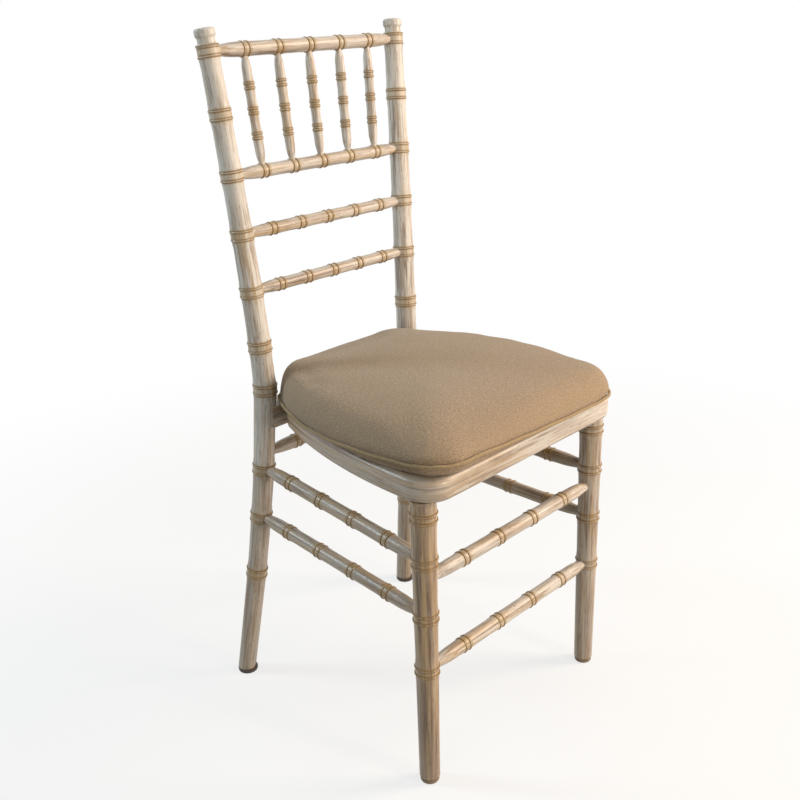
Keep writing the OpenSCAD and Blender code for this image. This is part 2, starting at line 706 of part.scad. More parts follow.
module glide(x, y, d) {
    r = d / 2;
    rim = 2.5;
    color(plastic) translate([x, y, 0]) difference() {
        rotate_extrude() polygon([[0, 0], [r - rim, 0], [r - 0.8, 0.8], [r, rim], [r, glide_h], [0, glide_h]]);
        translate([0, 0, -1]) cylinder(d = nail_d + 2 * nail_gap, h = glide_h + 2);
        translate([0, 0, -1]) cylinder(d = nail_head_d + 2 * nail_gap, h = 1 + nail_head_z + nail_head_h);
    }
}
module nail(p) {
    translate([p[0], p[1], nail_head_z]) cylinder(d = nail_d, h = nail_l);
    translate([p[0], p[1], nail_head_z]) cylinder(d = nail_head_d, h = nail_head_h);
}
module nail_hole(p) {
    translate([p[0], p[1], p[2] - 1]) cylinder(d = nail_d + 2 * nail_gap, h = nail_l);
}
module glide_nails() {
    color(steel) for (side = [0, 1]) mirror([side, 0, 0]) {
        nail([front_leg_x, front_leg_y]);
        nail(rear_glide);
    }
}

// ---- Seat pad ----

pad_front = [frame_w / 2 - pad_front_inset, -chair_d / 2 + pad_front_r];
pad_rear = [post_waist_gap / 2 - pad_rear_inset, post_waist_y + pad_tail - pad_rear_r];
pad_side = bow_centre(pad_front, pad_front_r, pad_rear, pad_rear_r, pad_bow_r);
pad_middle = [0, (pad_front[1] + pad_rear[1]) / 2];
pad_bottom_z = seat_z + pad_gap;
piping_z = pad_bottom_z + piping_d / 2 + 3;
pad_half = concat(
    arc(pad_front, pad_front_r, -90, aim_angle(pad_side, pad_front), 8, 0),
    arc(pad_side, pad_bow_r, aim_angle(pad_side, pad_front), aim_angle(pad_side, pad_rear), 8),
    arc(pad_rear, pad_rear_r, aim_angle(pad_side, pad_rear), 90, 8));
function pad_outline(t) = inset(concat(pad_half, mirrored_path(pad_half)), t);
function level(points, z) = [for (p = points) [p[0], p[1], z]];
function shrunk(points, s) = [for (p = points) pad_middle + (p - pad_middle) * s];

// The rings of the pad from its flat underside, past the piping and over the shoulder to the crown,
// all drawn in by skin.
pad_edge_in = piping_d + 0.1;
pad_shoulder_in = 28;
function pad_rings(skin) = let (top = piping_z + pad_shoulder_h - skin) concat(
    [level(pad_outline(pad_edge_in + 10 + skin), pad_bottom_z + skin)],
    [level(pad_outline(pad_edge_in + 3 + skin), pad_bottom_z + 1 + skin)],
    [for (a = [0:15:90]) level(
        pad_outline(pad_edge_in + skin + (pad_shoulder_in - pad_edge_in - skin) * (1 - sqrt(cos(a)))
            - 3 * sin(2 * a)),
        piping_z + (pad_shoulder_h - skin) * sqrt(sin(a)))],
    [for (k = [0.8, 0.6, 0.4, 0.2]) level(shrunk(pad_outline(pad_shoulder_in), k),
        top + pad_crown_h * (1 - k * k))]);

module pad_foam() {
    color(foam) loft(pad_rings(cover_t + 0.2));
}
module pad_cover() {
    color(fabric) difference() {
        loft(pad_rings(0));
        loft(pad_rings(cover_t));
    }
}
module pad_piping() {
    r = piping_d / 2;
    color(fabric) loft([for (a = [0:45:315]) level(pad_outline(r - r * cos(a)), piping_z - r * sin(a))], true);
}

// ---- The pieces ----

mirror([1, 0, 0]) rear_post();  // rear_post_left
rear_post();  // rear_post_right
mirror([1, 0, 0]) front_leg();  // front_leg_left
front_leg();  // front_leg_right
crest_rail();
spindle_rail();
ladder_rung(rung_upper_end);  // ladder_rung_upper
ladder_rung(rung_lower_end);  // ladder_rung_lower
for (i = [1:spindle_count])
    spindle(i);
mirror([1, 0, 0]) stretcher(side_upper_ends[0], side_upper_ends[1]);  // side_stretcher_upper_left
stretcher(side_upper_ends[0], side_upper_ends[1]);  // side_stretcher_upper_right
mirror([1, 0, 0]) stretcher(side_lower_ends[0], side_lower_ends[1]);  // side_stretcher_lower_left
stretcher(side_lower_ends[0], side_lower_ends[1]);  // side_stretcher_lower_right
stretcher(mirrored(front_upper_end), front_upper_end);  // front_stretcher_upper
stretcher(mirrored(front_lower_end), front_lower_end);  // front_stretcher_lower
stretcher(mirrored(rear_stretcher_end), rear_stretcher_end);  // rear_stretcher
seat_front_rail();
mirror([1, 0, 0]) seat_side_rail();  // seat_side_rail_left
seat_side_rail();  // seat_side_rail_right
seat_back_rail();
seat_panel();
mirror([1, 0, 0]) corner_block_front();  // corner_block_front_left
corner_block_front();  // corner_block_front_right
mirror([1, 0, 0]) corner_block_rear();  // corner_block_rear_left
corner_block_rear();  // corner_block_rear_right
rail_dowels();
block_screws();
leg_screws();
panel_screws();
glide(-front_leg_x, front_leg_y, front_glide_d);  // glide_front_left
glide(front_leg_x, front_leg_y, front_glide_d);  // glide_front_right
glide(-rear_glide[0], rear_glide[1], rear_glide_d);  // glide_rear_left
glide(rear_glide[0], rear_glide[1], rear_glide_d);  // glide_rear_right
glide_nails();
pad_foam();
pad_cover();
pad_piping();
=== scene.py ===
import math

import bpy
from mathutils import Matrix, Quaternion, Vector, kdtree, noise


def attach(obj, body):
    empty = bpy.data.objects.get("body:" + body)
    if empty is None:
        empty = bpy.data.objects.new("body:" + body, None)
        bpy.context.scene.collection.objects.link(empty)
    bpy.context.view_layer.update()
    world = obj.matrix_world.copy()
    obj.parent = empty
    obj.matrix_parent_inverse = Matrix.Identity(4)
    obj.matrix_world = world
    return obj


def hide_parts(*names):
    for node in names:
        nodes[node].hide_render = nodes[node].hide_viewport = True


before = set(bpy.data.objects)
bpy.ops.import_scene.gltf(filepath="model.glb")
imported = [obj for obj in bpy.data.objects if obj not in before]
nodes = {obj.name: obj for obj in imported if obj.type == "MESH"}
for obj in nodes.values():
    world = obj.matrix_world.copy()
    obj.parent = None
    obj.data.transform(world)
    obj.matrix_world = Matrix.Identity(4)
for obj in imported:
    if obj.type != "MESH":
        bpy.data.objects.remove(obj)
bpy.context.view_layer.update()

# ---- Camera ----
# A camera with a 47 mm lens stands in front of the chair's left front leg, a little above the pad.
# It looks down on the seat and leans slightly.
eye = Vector((-0.98339, -0.91719, 0.94098))
gaze = Vector((0.6750, 0.6474, -0.3539))
lean = math.radians(-1.883)
bpy.ops.object.camera_add(location=eye)
camera = bpy.context.object
camera.name = "camera"
camera.rotation_mode = "QUATERNION"
camera.rotation_quaternion = gaze.to_track_quat("-Z", "Y") @ Quaternion((0, 0, 1), lean)
camera.data.lens = 47.286
camera.data.sensor_width = 36
camera.data.clip_start = 0.05
bpy.context.scene.camera = camera
bpy.context.scene.view_settings.view_transform = "Standard"

# ---- Floor ----
# A matt sheet under the chair. The camera sees it as white paper that keeps the chair's shadow and
# runs out into plain white. To the chair it is a grey floor that throws little light.
FLOOR_W = 30
FADE_START, FADE_END, GLOW_BESIDE_CHAIR = 0.5, 1.6, 0.72


def paint(hex_colour):
    """A colour written as sRGB hex, in the linear values that a shader takes."""
    parts = [int(hex_colour[i:i + 2], 16) / 255 for i in (1, 3, 5)]
    return [c / 12.92 if c <= 0.04045 else ((c + 0.055) / 1.055) ** 2.4 for c in parts] + [1]


def add(tree, kind, inputs=(), **settings):
    """Adds a node with its settings, and sets or links its inputs, by name or number. A Map Range
    node's numbers are value, from min, from max, to min, to max. Returns the node."""
    node = tree.nodes.new(kind)
    for name, value in settings.items():
        setattr(node, name, value)
    for socket, value in dict(inputs).items():
        if isinstance(value, bpy.types.NodeSocket):
            tree.links.new(value, node.inputs[socket])
        else:
            node.inputs[socket].default_value = value
    return node


def new_material(name):
    """A material with an empty node tree."""
    material = bpy.data.materials.new(name)
    material.use_nodes = True
    material.node_tree.nodes.clear()
    return material


def sees_room(tree):
    """1 for the rays that show the room: those of the camera, of mirrors and of glass. 0 for the
    rays of its light."""
    rays = add(tree, "ShaderNodeLightPath").outputs
    mirrors = add(tree, "ShaderNodeMath",
                  {0: rays["Is Glossy Ray"], 1: rays["Is Transmission Ray"]}, operation="MAXIMUM")
    shown = add(tree, "ShaderNodeMath", {0: rays["Is Camera Ray"], 1: mirrors.outputs[0]},
                operation="MAXIMUM")
    return shown.outputs[0]


bpy.ops.mesh.primitive_plane_add(size=FLOOR_W, location=(0, 0, 0))
floor = bpy.context.object
floor.name = "floor"
floor_paper = new_material("matt white paper")
tree = floor_paper.node_tree
place = add(tree, "ShaderNodeTexCoord").outputs["Object"]
away = add(tree, "ShaderNodeVectorMath", {0: place}, operation="LENGTH")
share = add(tree, "ShaderNodeMapRange",
            {0: away.outputs["Value"], 1: FADE_START, 2: FADE_END, 3: GLOW_BESIDE_CHAIR, 4: 1.0},
            interpolation_type="SMOOTHSTEP")
paper = add(tree, "ShaderNodeBsdfDiffuse", {"Color": paint("#F4F2EF")})
glow = add(tree, "ShaderNodeEmission", {"Color": (1, 1, 1, 1), "Strength": 1.0})
sheet = add(tree, "ShaderNodeMixShader",
            {0: share.outputs[0], 1: paper.outputs[0], 2: glow.outputs[0]})
dim = add(tree, "ShaderNodeBsdfDiffuse", {"Color": paint("#96928C")})
seen = add(tree, "ShaderNodeMixShader",
           {0: sees_room(tree), 1: dim.outputs[0], 2: sheet.outputs[0]})
add(tree, "ShaderNodeOutputMaterial", {"Surface": seen.outputs[0]})
floor.data.materials.append(floor_paper)

# ---- Pale room ----
# The world is a pale room. It gives weak, slightly cool light from all round, and it is white where
# the camera, a mirror or glass shows it.
ROOM_LIGHT = 0.23

world = bpy.data.worlds.new("pale room")
bpy.context.scene.world = world
world.use_nodes = True
tree = world.node_tree
tree.nodes.clear()
white = sees_room(tree)
strength = add(tree, "ShaderNodeMapRange", {0: white, 1: 0, 2: 1, 3: ROOM_LIGHT, 4: 1.0})
tone = add(tree, "ShaderNodeMix", {0: white, 6: paint("#D6E8EA"), 7: (1, 1, 1, 1)},
           data_type="RGBA")
back = add(tree, "ShaderNodeBackground",
           {"Color": tone.outputs[2], "Strength": strength.outputs[0]})
add(tree, "ShaderNodeOutputWorld", {"Surface": back.outputs[0]})

# ---- Lamps ----
# A warm soft box lights the chair from the front right, and a low one fills in from the front. Cool
# window light comes from the back left. A bounce board and a box overhead open the shadows.


def lamp(name, place, target, width, height, watts, colour):
    """A soft box at place that faces target."""
    bpy.ops.object.light_add(type="AREA", location=place)
    light = bpy.context.object
    light.name = name
    light.data.shape = "RECTANGLE"
    light.data.size, light.data.size_y = width, height
    light.data.energy = watts
    light.data.color = paint(colour)[:3]
    light.rotation_mode = "QUATERNION"
    light.rotation_quaternion = (Vector(target) - Vector(place)).to_track_quat("-Z", "Y")


lamp("warm soft box, front right", (1.56, -1.49, 1.60), (0, 0, 0.5), 0.8, 1.4, 54, "#FFE9D2")
lamp("low soft box in front", (0.25, -2.2, 0.55), (0, 0, 0.5), 0.35, 1.0, 25, "#FFF2E2")
lamp("window, back left", (-1.3, 1.6, 1.75), (0, 0, 0.4), 0.5, 1.0, 26, "#DDECF4")
lamp("bounce board, left", (-1.9, -0.6, 0.95), (0, 0, 0.45), 0.7, 0.9, 4, "#F6F5F2")
lamp("soft box overhead", (0.3, 0.1, 2.6), (0, 0, 0.4), 1.2, 1.2, 9, "#FFFFFF")

# ---- Rear posts ----
# Two turned beech sticks, bowed out and back above and below the seat. Pairs of raised rings are
# turned on them where the rails enter. The wood is limewashed under a satin lacquer: white pigment
# stays in its pores, and the creases beside the rings are darkened, partly by brown stain and
# partly as painted shade.
CHAIR_H, WAIST_Z, GLIDE_H = 0.920, 0.460, 0.006
POST_X, SPLAY_UP, SPLAY_DOWN, SPLAY_POWER = 0.1415, 0.0235, 0.0335, 1.25
POST_Y, RAKE_UP, RAKE_DOWN, RAKE_POWER = 0.143, 0.0325, 0.055, 1.4
POST_RING_GAP, BEAD_W = 0.011, 0.003
SIDES = (("left", -1), ("right", 1))
# four pairs up to the seat, and six that are 75 mm apart above it
post_ring_z = [0.173, 0.264, 0.339, 0.457] + [0.5175 + 0.075 * k for k in range(6)]


def post_line(z):
    """The right post's centre at height z."""
    if z > WAIST_Z:
        share, splay, rake = (z - WAIST_Z) / (CHAIR_H - WAIST_Z), SPLAY_UP, RAKE_UP
    else:
        share, splay, rake = (WAIST_Z - z) / (WAIST_Z - GLIDE_H), SPLAY_DOWN, RAKE_DOWN
    return Vector((POST_X + splay * share ** SPLAY_POWER, POST_Y + rake * share ** RAKE_POWER, z))


def nearest_ring(tree, position, rings):
    """Distance from position to the middle plane of the nearest pair of rings. Each pair is given
    as its centre and the direction of the stick there."""
    nearest = None
    for centre, direction in rings:
        height = add(tree, "ShaderNodeVectorMath", {0: position, 1: direction},
                     operation="DOT_PRODUCT")
        above = add(tree, "ShaderNodeMath",
                    {0: height.outputs["Value"], 1: centre.dot(direction)}, operation="SUBTRACT")
        gap = add(tree, "ShaderNodeMath", {0: above.outputs[0]}, operation="ABSOLUTE").outputs[0]
        nearest = gap if nearest is None else add(
            tree, "ShaderNodeMath", {0: nearest, 1: gap}, operation="MINIMUM").outputs[0]
    return nearest


def limewashed_beech(tree, grain, seed, lime_and_shade, crease=None, ring_gap=0.0, golden=0.36):
    """Limewashed beech under a thin satin lacquer. The third part of grain runs along the wood's
    fibres. The argument after seed is how much lime is left; some pieces get less of it to paint
    shade on them, and some more to paint light. On a piece with pairs of rings, crease is the
    distance to the middle of the nearest pair, ring_gap is what parts its two rings, and golden is
    how much bare golden wood shows on them."""
    # growth figure: bands about 6 mm wide and 200 mm long, from brown heart to golden sapwood
    fibres = add(tree, "ShaderNodeVectorMath", {0: grain, 1: (1, 1, 0.03)}, operation="MULTIPLY")
    figure = add(tree, "ShaderNodeTexNoise",
                 {"Vector": fibres.outputs[0], "W": seed, "Scale": 170.0, "Detail": 5.0,
                  "Roughness": 0.62, "Distortion": 0.4}, noise_dimensions="4D")
    wood = add(tree, "ShaderNodeValToRGB", {0: figure.outputs[0]})
    heart, sapwood = wood.color_ramp.elements
    heart.position, heart.color = 0.41, paint("#6E5238")
    sapwood.position, sapwood.color = 0.61, paint("#B89A72")
    # lime in the pores: lines about 2 mm wide and 90 mm long, broken up by finer ones
    pore_line = add(tree, "ShaderNodeVectorMath", {0: grain, 1: (1, 1, 0.022)},
                    operation="MULTIPLY")
    pores = add(tree, "ShaderNodeTexNoise",
                {"Vector": pore_line.outputs[0], "W": seed + 3.1, "Scale": 520.0, "Detail": 3.0,
                 "Roughness": 0.6}, noise_dimensions="4D")
    in_pore = add(tree, "ShaderNodeMapRange",
                  {0: pores.outputs[0], 1: 0.48, 2: 0.62, 3: 0.0, 4: 0.5},
                  interpolation_type="SMOOTHSTEP")
    # thicker lime where the brush ran: streaks about 5 mm wide and 105 mm long
    brush_line = add(tree, "ShaderNodeVectorMath", {0: grain, 1: (1, 1, 0.05)},
                     operation="MULTIPLY")
    brush = add(tree, "ShaderNodeTexNoise",
                {"Vector": brush_line.outputs[0], "W": seed + 9.2, "Scale": 190.0, "Detail": 3.0,
                 "Roughness": 0.55}, noise_dimensions="4D")
    streak = add(tree, "ShaderNodeMapRange",
                 {0: brush.outputs[0], 1: 0.47, 2: 0.58, 3: 0.0, 4: 0.95},
                 interpolation_type="SMOOTHSTEP")
    # the wash was wiped off unevenly: patches about 40 mm across and 130 mm long
    patch_line = add(tree, "ShaderNodeVectorMath", {0: grain, 1: (1, 1, 0.30)},
                     operation="MULTIPLY")
    patches = add(tree, "ShaderNodeTexNoise",
                  {"Vector": patch_line.outputs[0], "W": seed + 7.7, "Scale": 26.0, "Detail": 4.0,
                   "Roughness": 0.6}, noise_dimensions="4D")
    film = add(tree, "ShaderNodeMapRange",
               {0: patches.outputs[0], 1: 0.38, 2: 0.64, 3: 0.10, 4: 0.70})
    veiled = add(tree, "ShaderNodeMath", {0: in_pore.outputs[0], 1: film.outputs[0]},
                 operation="ADD")
    brushed = add(tree, "ShaderNodeMath", {0: veiled.outputs[0], 1: streak.outputs[0]},
                  operation="MAXIMUM")
    # the lime's share, turned down on some pieces to paint shade and up on others to paint light
    lime = add(tree, "ShaderNodeMath", {0: brushed.outputs[0], 1: lime_and_shade}, operation="MULTIPLY")
    lime.use_clamp = True
    limed_and_shaded = add(tree, "ShaderNodeMix",
                 {0: lime.outputs[0], 6: wood.outputs[0], 7: paint("#D8D2CA")}, data_type="RGBA")
    # ray flecks: dark dashes about 1.5 mm wide and 12 mm long
    dash_line = add(tree, "ShaderNodeVectorMath", {0: grain, 1: (1, 1, 0.12)},
                    operation="MULTIPLY")
    dashes = add(tree, "ShaderNodeTexNoise",
                 {"Vector": dash_line.outputs[0], "W": seed + 1.3, "Scale": 700.0, "Detail": 1.0},
                 noise_dimensions="4D")
    fleck = add(tree, "ShaderNodeMapRange",
                {0: dashes.outputs[0], 1: 0.60, 2: 0.74, 3: 0.0, 4: 0.5})
    colour = add(tree, "ShaderNodeMix",
                 {0: fleck.outputs[0], 6: limed_and_shaded.outputs[2], 7: paint("#6E5438")},
                 data_type="RGBA")
    if crease is not None:
        # the creases on both sides of a bead are darkened, partly by brown stain and partly as
        # painted shade, and the darkening thins out over about 1.4 mm
        off_bead = add(tree, "ShaderNodeMath", {0: crease, 1: ring_gap / 2}, operation="SUBTRACT")
        beside = add(tree, "ShaderNodeMath", {0: off_bead.outputs[0]}, operation="ABSOLUTE")
        off_edge = add(tree, "ShaderNodeMath", {0: beside.outputs[0], 1: BEAD_W / 2},
                       operation="SUBTRACT")
        from_edge = add(tree, "ShaderNodeMath", {0: off_edge.outputs[0]}, operation="ABSOLUTE")
        crease_stain_and_shade = add(tree, "ShaderNodeMapRange",
                    {0: from_edge.outputs[0], 1: 0.0002, 2: 0.0016, 3: 0.9, 4: 0.0},
                    interpolation_type="SMOOTHSTEP")
        uneven = add(tree, "ShaderNodeMapRange",
                     {0: patches.outputs[0], 1: 0.3, 2: 0.6, 3: 0.6, 4: 1.0})
        uneven_stain_and_shade = add(tree, "ShaderNodeMath", {0: crease_stain_and_shade.outputs[0], 1: uneven.outputs[0]},
                      operation="MULTIPLY")
        # a thinner golden tint lies over the whole pair
        tint = add(tree, "ShaderNodeMapRange",
                   {0: crease, 1: ring_gap / 2 + 0.001, 2: ring_gap / 2 + 0.006, 3: golden, 4: 0.0},
                   interpolation_type="SMOOTHSTEP")
        tinted = add(tree, "ShaderNodeMix",
                     {0: tint.outputs[0], 6: colour.outputs[2], 7: paint("#B4924F")},
                     data_type="RGBA")
        colour = add(tree, "ShaderNodeMix",
                     {0: uneven_stain_and_shade.outputs[0], 6: tinted.outputs[2], 7: paint("#80602B")},
                     data_type="RGBA")
    # the limed wood is matt, the bare wood satin, and the brush left shallow ridges
    gloss = add(tree, "ShaderNodeMapRange", {0: lime.outputs[0], 1: 0.0, 2: 1.0, 3: 0.40, 4: 0.62})
    ridges = add(tree, "ShaderNodeMath", {0: pores.outputs[0], 1: brush.outputs[0]},
                 operation="ADD")
    bump = add(tree, "ShaderNodeBump",
               {"Strength": 0.6, "Distance": 0.0003, "Height": ridges.outputs[0]})
    beech = add(tree, "ShaderNodeBsdfPrincipled", {
        "Base Color": colour.outputs[2], "Roughness": gloss.outputs[0], "IOR": 1.45,
        "Coat Weight": 0.30, "Coat Roughness": 0.20, "Coat IOR": 1.5, "Normal": bump.outputs[0]})
    add(tree, "ShaderNodeOutputMaterial", {"Surface": beech.outputs[0]})


def finish_node(name, material):
    """Gives a solid of the frame its finish."""
    slots = nodes[name].data.materials
    slots.clear()
    slots.append(material)


for side, sign in SIDES:
    material = new_material("limewashed beech, rear post " + side)
    tree = material.node_tree
    place = add(tree, "ShaderNodeTexCoord").outputs["Object"]
    # the fibres follow the bow of the post: its centre line is taken off the position
    x, y, z = add(tree, "ShaderNodeSeparateXYZ", {0: place}).outputs
    up = add(tree, "ShaderNodeMapRange", {0: z, 1: WAIST_Z, 2: CHAIR_H, 3: 0, 4: 1})
    down = add(tree, "ShaderNodeMapRange", {0: z, 1: WAIST_Z, 2: GLIDE_H, 3: 0, 4: 1})
    straight = []
    for across, waist, over, under, power in (
            (x, POST_X * sign, SPLAY_UP * sign, SPLAY_DOWN * sign, SPLAY_POWER),
            (y, POST_Y, RAKE_UP, RAKE_DOWN, RAKE_POWER)):
        bow_up = add(tree, "ShaderNodeMath", {0: up.outputs[0], 1: power}, operation="POWER")
        bow_down = add(tree, "ShaderNodeMath", {0: down.outputs[0], 1: power}, operation="POWER")
        above = add(tree, "ShaderNodeMath", {0: bow_up.outputs[0], 1: over, 2: waist},
                    operation="MULTIPLY_ADD")
        line = add(tree, "ShaderNodeMath", {0: bow_down.outputs[0], 1: under, 2: above.outputs[0]},
                   operation="MULTIPLY_ADD")
        off = add(tree, "ShaderNodeMath", {0: across, 1: line.outputs[0]}, operation="SUBTRACT")
        straight.append(off.outputs[0])
    grain = add(tree, "ShaderNodeCombineXYZ", {0: straight[0], 1: straight[1], 2: z})
    chain = [post_line(height) for height in [GLIDE_H] + post_ring_z + [CHAIR_H]]
    rings = []
    for below, here, above in zip(chain, chain[1:], chain[2:]):
        direction = ((here - below).normalized() + (above - here).normalized()).normalized()
        rings.append((Vector((here.x * sign, here.y, here.z)),
                      Vector((direction.x * sign, direction.y, direction.z))))
    # more lime is left towards the top and less low down: this paints light on the upper posts and
    # the shade under the seat
    lime_and_shade = add(tree, "ShaderNodeMapRange", {0: z, 1: 0.15, 2: 0.60, 3: 0.55, 4: 1.30})
    limewashed_beech(tree, grain.outputs[0], 2.0 + sign, lime_and_shade.outputs[0],
                     nearest_ring(tree, place, rings), POST_RING_GAP)
    finish_node("rear_post_" + side, material)

# ---- Front legs ----
# Two straight turned sticks of the same limewashed beech, with four pairs of rings each. Each is
# glued by a round tenon into the seat frame. Their lime is worn thin, and less is left on the left
# one, which paints the shade on the chair's left side.
LEG_X, LEG_Y, LEG_TOP_Z, LEG_RING_GAP = 0.1745, -0.173, 0.403, 0.0095
leg_rings = [(z - GLIDE_H) / (LEG_TOP_Z - GLIDE_H) for z in (0.169, 0.245, 0.320, 0.380)]


def stick(name, start, end, ring_places, ring_gap, seed, lime_and_shade, golden=0.36):
    """The finish of a straight stick from start to end. ring_places are shares of its length."""
    start, end = Vector(start), Vector(end)
    material = new_material("limewashed beech, " + name.replace("_", " "))
    tree = material.node_tree
    place = add(tree, "ShaderNodeTexCoord").outputs["Object"]
    axis = (end - start).normalized()
    turn = axis.to_track_quat("Z", "X").to_euler()
    grain = add(tree, "ShaderNodeMapping", {"Vector": place, "Location": start, "Rotation": turn},
                vector_type="TEXTURE")
    rings = [(start.lerp(end, share), axis) for share in ring_places]
    limewashed_beech(tree, grain.outputs[0], seed, lime_and_shade, nearest_ring(tree, place, rings),
                     ring_gap, golden)
    finish_node(name, material)


# less lime on the left leg than on the right paints the shade on the chair's left side
for side, sign in SIDES:
    stick("front_leg_" + side, (LEG_X * sign, LEG_Y, GLIDE_H), (LEG_X * sign, LEG_Y, LEG_TOP_Z),
          leg_rings, LEG_RING_GAP, 11.0 + sign, 0.36 + 0.18 * sign, golden=0.12)

# ---- Stretchers ----
# Seven turned beech sticks with four pairs of rings each, glued by their narrow ends into the legs
# and posts: two on each side, which rise to the rear, two at the front and one at the rear.
STICK_RING_GAP, SIDE_RISE, REAR_STRETCHER_Z = 0.0085, 0.019, 0.361


def even(count):
    """Shares of a length that part it evenly."""
    return [(i + 1) / (count + 1) for i in range(count)]


def between_posts(z):
    """The ends of a stick at height z that runs from the left post to the right one."""
    right = post_line(z)
    return Vector((-right.x, right.y, right.z)), right


# the side stretchers get less lime than the rear one and the front ones more: this paints the shade
# on the chair's sides and the light on its front
for side, sign in SIDES:
    for level, z, seed in (("upper", 0.320, 21), ("lower", 0.245, 25)):
        post = post_line(z + SIDE_RISE)
        stick("side_stretcher_%s_%s" % (level, side), (LEG_X * sign, LEG_Y, z),
              (post.x * sign, post.y, post.z), even(4), STICK_RING_GAP, seed + sign, 0.48)
for level, z, seed in (("upper", 0.294, 31), ("lower", 0.169, 33)):
    stick("front_stretcher_" + level, (-LEG_X, LEG_Y, z), (LEG_X, LEG_Y, z), even(4),
          STICK_RING_GAP, seed, 0.85)
stick("rear_stretcher", *between_posts(REAR_STRETCHER_Z), even(4), STICK_RING_GAP, 49, 0.75)

# ---- Crest rail, spindle rail and rungs ----
# Four turned beech sticks with five pairs of rings each, glued into the posts. The upper two hold
# the spindles, and the lower two are the rungs of the ladder under them.
CREST_Z, SPINDLE_RAIL_Z = 0.8925, 0.7425

for name, z, seed in (("crest_rail", CREST_Z, 41), ("spindle_rail", SPINDLE_RAIL_Z, 43),
                      ("ladder_rung_upper", 0.6675, 45), ("ladder_rung_lower", 0.5925, 47)):
    stick(name, *between_posts(z), even(5), STICK_RING_GAP, seed, 0.75)

# ---- Spindles ----
# Five slim turned beech sticks between the crest rail and the rail under it. Each has three pairs
# of rings round its middle, and more lime is left on them than on the rails.
SPINDLE_RING_GAP, SPINDLE_RING_PITCH = 0.006, 0.031

crest_left, crest_right = between_posts(CREST_Z)
foot_left, foot_right = between_posts(SPINDLE_RAIL_Z)
for i in range(1, 6):
    foot, top = foot_left.lerp(foot_right, i / 6), crest_left.lerp(crest_right, i / 6)
    pitch = SPINDLE_RING_PITCH / (top - foot).length
    stick("spindle_%d" % i, foot, top, [0.5 - pitch, 0.5, 0.5 + pitch], SPINDLE_RING_GAP,
          50 + 2 * i, 1.1)

# ---- Seat frame ----
# The front rail and the two side rails are bent from thick beech strips and joined end to end, so
# their fibres run round the corners, and a straight back rail closes the frame. The long edges are
# rounded, and a rebate inside holds the seat panel. The lime thins from the front right towards the
# rear and the left, which paints the shade on the chair's left side under the pad's overhang.
SEAT_Z, FRAME_H, RAIL_W, EDGE_R = 0.433, 0.030, 0.034, 0.007
REBATE_W, PANEL_T = 0.008, 0.006
BOW_R, JOINT_FROM_CORNER = 0.76, 0.042
front_corner, front_r = (0.157, -0.165), 0.038
rear_corner, rear_r = (0.103, 0.0928), 0.035


def arc(centre, radius, start, end, steps, first=1):
    """Points (x, y, direction) on an arc, as degrees run from start to end."""
    points = []
    for i in range(first, steps + 1):
        turn = start + (end - start) * i / steps
        points.append((centre[0] + radius * math.cos(math.radians(turn)),
                       centre[1] + radius * math.sin(math.radians(turn)), turn))
    return points


def bow_centre(front, front_r, rear, rear_r, bow_r):
    """Centre of the long arc round the outside of both corner circles."""
    dx, dy = rear[0] - front[0], rear[1] - front[1]
    apart, to_front, to_rear = math.hypot(dx, dy), bow_r - front_r, bow_r - rear_r
    turn = math.atan2(dy, dx) + math.acos(
        (to_front * to_front + apart * apart - to_rear * to_rear) / (2 * to_front * apart))
    return front[0] + to_front * math.cos(turn), front[1] + to_front * math.sin(turn)


def facing(p, q):
    """The direction from p to q in degrees."""
    return math.degrees(math.atan2(q[1] - p[1], q[0] - p[0]))


def other_side(path):
    """The mirror image of a path, which runs on in the same sense round the seat."""
    return [(-x, y, 180 - turn) for x, y, turn in reversed(path)]


bow = bow_centre(front_corner, front_r, rear_corner, rear_r, BOW_R)
bow_start, bow_end = facing(bow, front_corner), facing(bow, rear_corner)
bow_joint = bow_start + math.degrees(JOINT_FROM_CORNER / BOW_R)
front_half = (arc(front_corner, front_r, -90, bow_start, 24, 0)
              + arc(bow, BOW_R, bow_start, bow_joint, 5))
side_half = ([front_half[-1]] + arc(bow, BOW_R, bow_joint, bow_end, 18)
             + arc(rear_corner, rear_r, bow_end, 90, 20))
front_straight = [(-front_corner[0] + 2 * front_corner[0] * i / 12, front_corner[1] - front_r, -90)
                  for i in range(1, 12)]
front_path = other_side(front_half) + front_straight + front_half

# the rail's section: (distance in from the outer edge, height above its underside)
rebate_in, rebate_up = RAIL_W - REBATE_W, FRAME_H - PANEL_T
rail_section = [(rebate_in, FRAME_H), (rebate_in, rebate_up), (RAIL_W, rebate_up)]
for centre_in, centre_up, start in ((RAIL_W - EDGE_R, EDGE_R, 0), (EDGE_R, EDGE_R, -90),
                                    (EDGE_R, FRAME_H - EDGE_R, -180)):
    for k in range(7):
        turn = math.radians(start - 15 * k)
        rail_section.append((centre_in + EDGE_R * math.cos(turn),
                             centre_up + EDGE_R * math.sin(turn)))


